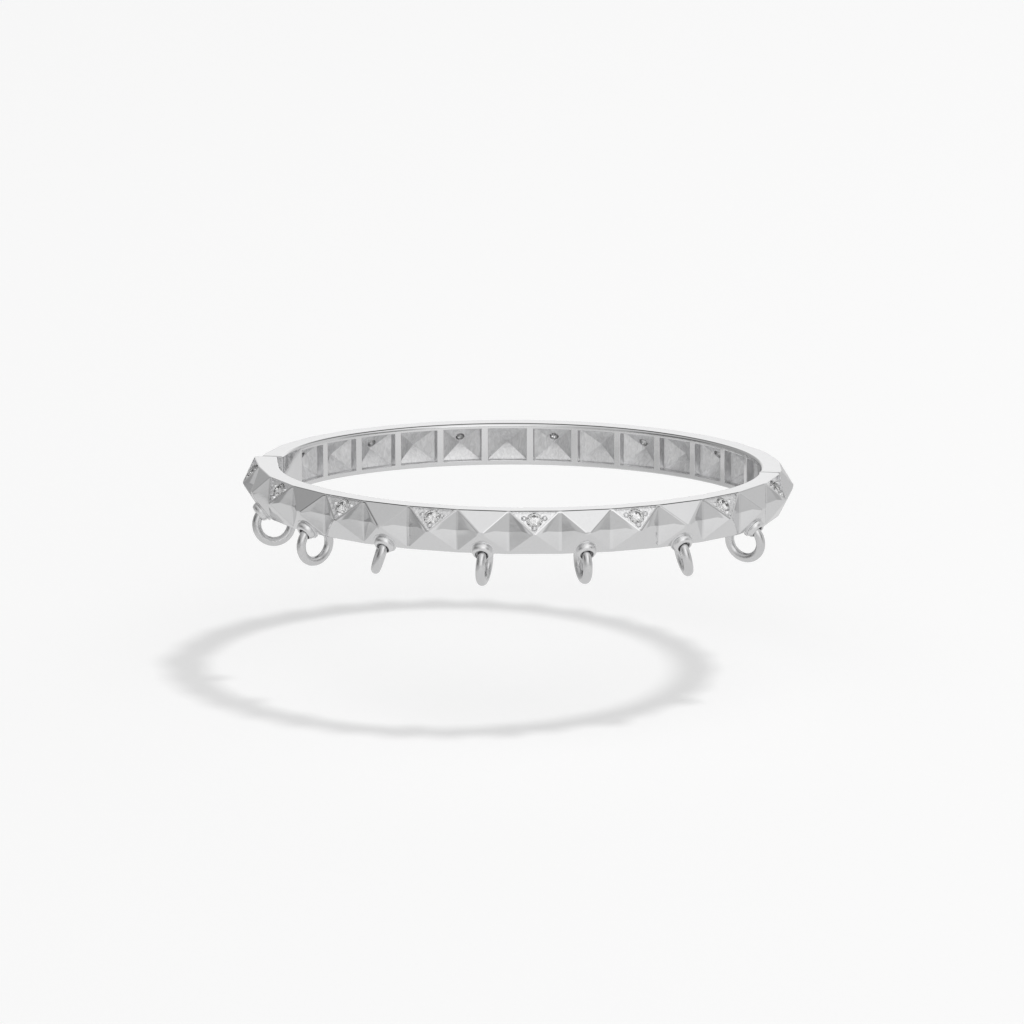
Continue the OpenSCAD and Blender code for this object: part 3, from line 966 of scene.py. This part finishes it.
def wire_ring_tree():
    """A small circle swept along a large one."""
    wire, given, result = new_tree("wire ring", [
        ("Ring diameter", "Float"), ("Wire diameter", "Float"), ("Finish", "Material"),
        ("Steps round the ring", "Int"), ("Steps round the wire", "Int")])
    path = wire.node("GeometryNodeCurvePrimitiveCircle", {
        "Resolution": given["Steps round the ring"],
        "Radius": (given["Ring diameter"] - given["Wire diameter"]) * 0.5})
    section = wire.node("GeometryNodeCurvePrimitiveCircle", {
        "Resolution": given["Steps round the wire"], "Radius": given["Wire diameter"] * 0.5})
    swept = wire.node("GeometryNodeCurveToMesh", {"Curve": path, "Profile Curve": section})
    wire.plug(result, wire.node("GeometryNodeSetMaterial", {
        "Geometry": swept, "Material": given["Finish"]}))
    return wire.tree


WIRE_RING = wire_ring_tree()


def wire_ring(name, hang, wire_d, ring_steps, wire_steps, finish):
    piece = new_piece(name, bpy.data.meshes.new(name))
    run_tree(piece, WIRE_RING, {
        "Ring diameter": RING_D, "Wire diameter": wire_d, "Finish": finish,
        "Steps round the ring": ring_steps, "Steps round the wire": wire_steps})
    piece.data.transform(ring_frame(hang))
    return piece


eye_frames = [stud_frame("front", j) @ LOWER_FACET @ Matrix.Translation((0, -EYE_UP, 0))
              for j in range(STUDS) if not has_stone("front", j)]
hole_frames = [f @ Matrix.Translation((0, HOLE_OFFSET, 0)) for f in eye_frames]
for name, profile, frames, operation, finish in (
        ("eyes", eye_profile, eye_frames, "UNION", SOFT),
        ("eye_holes", hole_profile, hole_frames, "DIFFERENCE", INSIDE)):
    shape = lathe(name + "_shape", profile, EYE_STEPS, finish)
    row = repeat(name, shape, frames)
    work(bands["front"], row, operation)
    throw_away(shape, row)
for hang in RING_HANG:
    way = wire_ring("ring_way", hang, WIRE_D + 2 * RING_CLEARANCE, 48, 20, satin)
    work(bands["front"], sort_finishes(way), "DIFFERENCE")
    throw_away(way)
print("front band with its eyes:", len(bands["front"].data.polygons), "faces")

# %% [markdown]
# ## Hinge and clasp
#
# Both are hidden in the rim. At the right end three knuckles turn on a pin, the
# middle one on the front half and the outer two on the back half, each in a
# pocket with a little room. At the left end a tongue fixed in the back half
# enters a socket in the front half, which a slot opens to the wrist side. A
# narrow catch in the back half's end makes the dark notch beside the seam.
# Turned and square tools cut all of them.

# %% Knuckles, pockets, socket and seat
KNUCKLE_R, POCKET_R, PIN_HOLE_R = 0.8, 0.88, 0.43
BARREL, MIDDLE, KNUCKLE_GAP = 1.95, 0.65, 0.05
POCKET_END, APART = BARREL + KNUCKLE_GAP, MIDDLE + KNUCKLE_GAP
DRUM_STEPS = 40
TONGUE_HALF, TONGUE_HALF_HEIGHT = 0.4, 1.3
TONGUE_IN, TONGUE_BACK = 2.6, 2.0
SOCKET_GAP, SEAT_FIT = 0.2, 0.03
SLOT_FROM, SLOT_TO, SLOT_HALF_HEIGHT = -1.5, -1.0, 0.9
CATCH_LOW, CATCH_HIGH = (-29.62, -0.2, -1.5), (-29.36, 1.0, 1.3)


def drum(low, high, radius, finish=INSIDE):
    profile = [(0, low), (radius, low), (radius, high), (0, high)]
    piece = lathe("drum", profile, DRUM_STEPS, finish)
    piece.data.transform(Matrix.Translation((PIN_X, 0, 0)))
    return piece


def tongue_room(gap, y0, y1):
    across, up = TONGUE_HALF + gap, TONGUE_HALF_HEIGHT + gap
    return block("tongue_room", (TONGUE_X - across, y0, -up), (TONGUE_X + across, y1, up))


steps = (
    ("front", "UNION", drum(-MIDDLE, MIDDLE, KNUCKLE_R, OUTSIDE)),
    ("front", "DIFFERENCE", drum(MIDDLE, POCKET_END, POCKET_R)),
    ("front", "DIFFERENCE", drum(-POCKET_END, -MIDDLE, POCKET_R)),
    ("front", "DIFFERENCE", drum(-POCKET_END, POCKET_END, PIN_HOLE_R)),
    ("front", "DIFFERENCE", tongue_room(SOCKET_GAP, -TONGUE_IN - SOCKET_GAP, 1.0)),
    ("front", "DIFFERENCE", block("release", (TONGUE_X, SLOT_FROM, -SLOT_HALF_HEIGHT),
                                  (TONGUE_X + RIM_WIDTH, SLOT_TO, SLOT_HALF_HEIGHT))),
    ("back", "DIFFERENCE", drum(-APART, APART, POCKET_R)),
    ("back", "UNION", drum(APART, BARREL, KNUCKLE_R, OUTSIDE)),
    ("back", "UNION", drum(-BARREL, -APART, KNUCKLE_R, OUTSIDE)),
    ("back", "DIFFERENCE", drum(-POCKET_END, POCKET_END, PIN_HOLE_R)),
    ("back", "DIFFERENCE", tongue_room(SEAT_FIT, -1.0, TONGUE_BACK + SEAT_FIT)),
    ("back", "DIFFERENCE", block("catch", CATCH_LOW, CATCH_HIGH)),
)
for half, operation, tool in steps:
    work(bands[half], tool, operation)
    throw_away(tool)

# %% [markdown]
# ## Flat facets and smooth roundings
#
# Smooth shading lets light slide over the rounded edges, but on its own it
# would also bend the flat facets. The Weighted Normal modifier settles that:
# each corner takes its direction mostly from the largest face beside it, so the
# facets stay flat and only the roundings turn. Edges over 34 degrees stay crisp.

# %% Finish the metal pieces
MM = 0.001
CRISP = math.radians(34)
FLAT_WEIGHT = 80
BEND_LOW, BEND_HIGH = SWELL_AT - 0.1, SWELL_AT + 0.4
LEAST_BEND, MOST_BEND = 2.5, 9


def mark_bends(piece):
    """Keep the faint bend across each swollen side as a line in the shading."""
    mesh = open_mesh(piece)
    for edge in mesh.edges:
        a, b = (v.co for v in edge.verts)
        low, high = sorted((a.z, b.z))
        bend = math.degrees(edge.calc_face_angle(0))
        level = high - low < 0.7 * (a - b).length
        if level and BEND_LOW < low and high < BEND_HIGH and LEAST_BEND < bend < MOST_BEND:
            edge.smooth = False
    close_mesh(mesh, piece)


def finish_metal(piece, crisp=True):
    """Smooth shading with flat facets, and millimetres made metres."""
    piece.data.shade_smooth()
    if crisp:
        piece.data.set_sharp_from_angle(angle=CRISP)
        mark_bends(piece)
        modify(piece, "flat facets", "WEIGHTED_NORMAL", keep_sharp=True, weight=FLAT_WEIGHT)
    piece.data.transform(Matrix.Scale(MM, 4))


for half, band in bands.items():
    describe(half + " band:", band)
    finish_metal(band)
    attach(band, half)
    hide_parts(half + "_half")
    throw_away(rims[half])

# %% [markdown]
# ## Jump rings
#
# A jump ring is a length of round wire closed on itself. Geometry Nodes sweep a
# small circle along a large one, and each ring gets the turn that it has come
# to rest in: it leans on the edge of its eye. The rings keep the faint dullness
# of drawn wire.

# %% The seven rings
for i, hang in enumerate(RING_HANG):
    ring = wire_ring(f"ring_{i + 1}", hang, WIRE_D, 96, 32, drawn)
    finish_metal(ring, crisp=False)
    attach(ring, "front")
    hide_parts(f"jump_ring_{i + 1}")
print("rings:", len(RING_HANG))

# %% [markdown]
# ## Beads
#
# The setter raises three beads of metal against each stone with a graver and
# rounds them with a beading tool. Each is a small dome on the metal. The tree
# repeats one bead three times for every stone, and the beads of each half are
# one piece that rides with it.

# %% The beads that hold the stones
BEAD_R, BEAD_ROOT = 0.37, -0.4
BEAD_TOP, BEAD_DOME, DOME_POWER = 0.09, 0.29, 2.2
BEADS = (Vector((-1.22, 0.84, -0.12)), Vector((1.22, 0.84, -0.12)), Vector((0, 2.18, 0)))

bead_profile = [(0, BEAD_ROOT), (BEAD_R, BEAD_ROOT)] + [
    (BEAD_R * share, BEAD_TOP - BEAD_DOME * share ** DOME_POWER)
    for share in (1.0, 0.94, 0.84, 0.72, 0.58, 0.42, 0.22, 0.0)]
for half in SIDE:
    shape = lathe("bead_shape", bead_profile, 16, CUT)
    frames = [stud_frame(half, j) @ UPPER_FACET @ Matrix.Translation(place)
              for j in range(STUDS) if has_stone(half, j) for place in BEADS]
    beads = repeat(half + "_beads", shape, frames)
    throw_away(shape)
    finish_metal(beads, crisp=False)
    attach(beads, half)
    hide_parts(half + "_half")
    print(half, "beads:", len(frames))

# %% [markdown]
# ## Stones
#
# The stones are round brilliants, with an eight-sided table and a full crown
# and pavilion. Their facets come from the solids, and what makes them sparkle
# is the light's path inside: a high index of refraction bends it so much that
# most of it leaves again through the top. A trace of tone that varies from
# stone to stone keeps them from being fifteen copies of one stone.

# %% The stones' material
def stone_material():
    material, shader, wire = new_material("clear brilliant")
    tone = wire.noise(wire.node("ShaderNodeTexCoord", out="Object"), 260.0, 1.0)
    wire.fill(shader, {
        "Base Color": (tone * 0.06 + 0.95).grey(),
        "IOR": 2.42, "Roughness": 0.0, "Transmission Weight": 1.0})
    return material


stone_finish = stone_material()
for name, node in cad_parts.items():
    if "stone" in name or name in ("hinge_pin", "clasp_tongue"):
        for slot in node.material_slots:
            slot.material = stone_finish if "stone" in name else steel
print("stones:", sum("stone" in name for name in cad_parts))

# %% [markdown]
# ## Floor and light
#
# The bracelet floats a little over a pale floor, as it does in a shop picture,
# and a soft lamp high at the right draws the oval's shadow under it. A polished
# piece shows its surroundings more than itself, so the room matters as much as
# the lamp. A photographer stands cards and panels round a bright piece for the
# same reason: here a panel behind it whitens the rim, a softbox above the
# camera lights the upper facets, and the left is kept greyer than the right,
# which parts the two sides of every stud. The white floor would wash out the
# lower facets, so they mirror a card that lies just under the paper. The card
# glows with its own light and is hidden from the camera, from diffuse light and
# from shadows, so its glow is painted light and shade for the lower facets:
# lighter near the middle than further out, with soft painted patches left and
# right.

# %% The floor, and the card that the metal mirrors
FLOOR_Z, FLOOR_SLOPE = -0.0229, 0.068
CARD_Z = -0.0252
SHEET_HALF = 4.0
forward = Vector((-right_hand.y, right_hand.x, 0))


def sheet_of(name, z, slope, material):
    mesh = bpy.data.meshes.new(name)
    along = forward + Vector((0, 0, slope))
    corners = [(right_hand * x + along * y) * SHEET_HALF
               for x, y in ((-1, -1), (1, -1), (1, 1), (-1, 1))]
    mesh.from_pydata([c + Vector((0, 0, z)) for c in corners], [], [(0, 1, 2, 3)])
    piece = new_piece(name, mesh, [material])
    return piece


paper, paper_shader, paper_wire = new_material("pale paper")
paper_wire.fill(paper_shader, {
    "Base Color": (0.8, 0.8, 0.8, 1), "Roughness": 1.0, "Specular IOR Level": 0.0,
    "Emission Color": (1, 1, 1, 1), "Emission Strength": 0.27})
floor = sheet_of("floor", FLOOR_Z, FLOOR_SLOPE, paper)
floor.visible_glossy = False

# The card's glow is painted light and shade for the metal to mirror: 0.72 near the middle and 0.62
# further out, with painted darker patches near the left and far to the left and right, and a
# painted lighter one near the right.
card, card_shader, card_wire = new_material("grey card")
spot = card_wire.node("ShaderNodeTexCoord", out="Object")
card_x, card_y = (card_wire.node("ShaderNodeSeparateXYZ", {"Vector": spot}, out=axis)
                  for axis in "XY")
away = card_wire.node("ShaderNodeVectorMath", {0: spot, 1: (0.01, -0.01, CARD_Z)},
                      out="Value", operation="DISTANCE")
near_edge = away.ramp(0.07, 0.1)
near_left = near_edge * card_x.ramp(-0.005, -0.055) * card_y.ramp(0.065, 0.035) * (
    away - card_y.ramp(-0.06, -0.04, 0.0, 0.01)).ramp(0.108, 0.102)
near_right = near_edge * card_x.ramp(-0.05, 0.03) * card_y.ramp(0.0, -0.07)
near = 0.72 - near_left * 0.21 + near_right * 0.13
far_left = card_x.ramp(-0.015, -0.05) * (away + card_y * 0.16).ramp(0.213, 0.199, 0.1)
far_right = (card_x.ramp(0.0, 0.1) * card_y.ramp(-0.12, -0.07) * card_y.ramp(0.05, 0.02)
             * away.ramp(0.212, 0.198, 0.2))
far = 0.62 - far_left * 0.27 - far_right * 0.16
card_level = near + away.ramp(0.129, 0.134) * (far - near)
card_wire.fill(card_shader, {
    "Emission Color": card_level.grey(), "Emission Strength": 1.0,
    "Base Color": (0, 0, 0, 1), "Specular IOR Level": 0.0})
grey_card = sheet_of("grey_card", CARD_Z, 0.0, card)
grey_card.visible_camera = False
grey_card.visible_diffuse = False
grey_card.visible_shadow = False

# %% The lamp and the room
lamp_data = bpy.data.lights.new("soft lamp", "AREA")
lamp_data.shape = "DISK"
lamp_data.size = 0.28
lamp_data.energy = 12.5
lamp = new_piece("soft_lamp", lamp_data)
lamp_place = Vector((0.812, 0.0, 1.9))
lamp.matrix_world = Matrix.Translation(lamp_place) @ (
    (-lamp_place).to_track_quat("-Z", "Y").to_matrix().to_4x4())
lamp.visible_glossy = False

world = bpy.data.worlds.new("studio")
world.use_nodes = True
bpy.context.scene.world = world
sky = Wire(world.node_tree)
direction = sky.node("ShaderNodeTexCoord", out="Generated")


def panel(towards, edge, heart, light):
    """A soft patch of light in one direction, from nothing at edge to full at heart."""
    towards = Vector(towards).normalized()
    facing = sky.node("ShaderNodeVectorMath", {0: direction, 1: tuple(towards)},
                      out="Value", operation="DOT_PRODUCT")
    start, stop = (math.cos(math.radians(angle)) for angle in (edge, heart))
    return facing.ramp(start, stop, 0.0, light)


across = sky.node("ShaderNodeSeparateXYZ", {"Vector": direction}, out="X")
room = (across * 0.17 + 0.52
        + panel((0.02, 0.97, 0.2), 32, 13, 0.44)
        + panel((-0.143, 0.942, 0.292), 6.2, 2.5, 0.09)
        + panel((0.36, -0.42, 0.83), 48, 8, 0.42)
        + panel((-0.55, -0.35, 0.76), 42, 5, 0.2)
        + panel((0.3, -0.95, 0.12), 46, 10, 0.42)
        - panel((0.0, 0.5, 0.87), 42, 14, 0.44)
        - panel((0.86, -0.36, 0.32), 30, 12, 0.4)
        - panel((-0.86, -0.36, 0.28), 28, 10, 0.26))
sky.fill(world.node_tree.nodes["Background"], {"Color": room.grey()})
bpy.context.scene.view_settings.view_transform = "Standard"
print("lamp at", tuple(lamp_place), "floor at", FLOOR_Z)
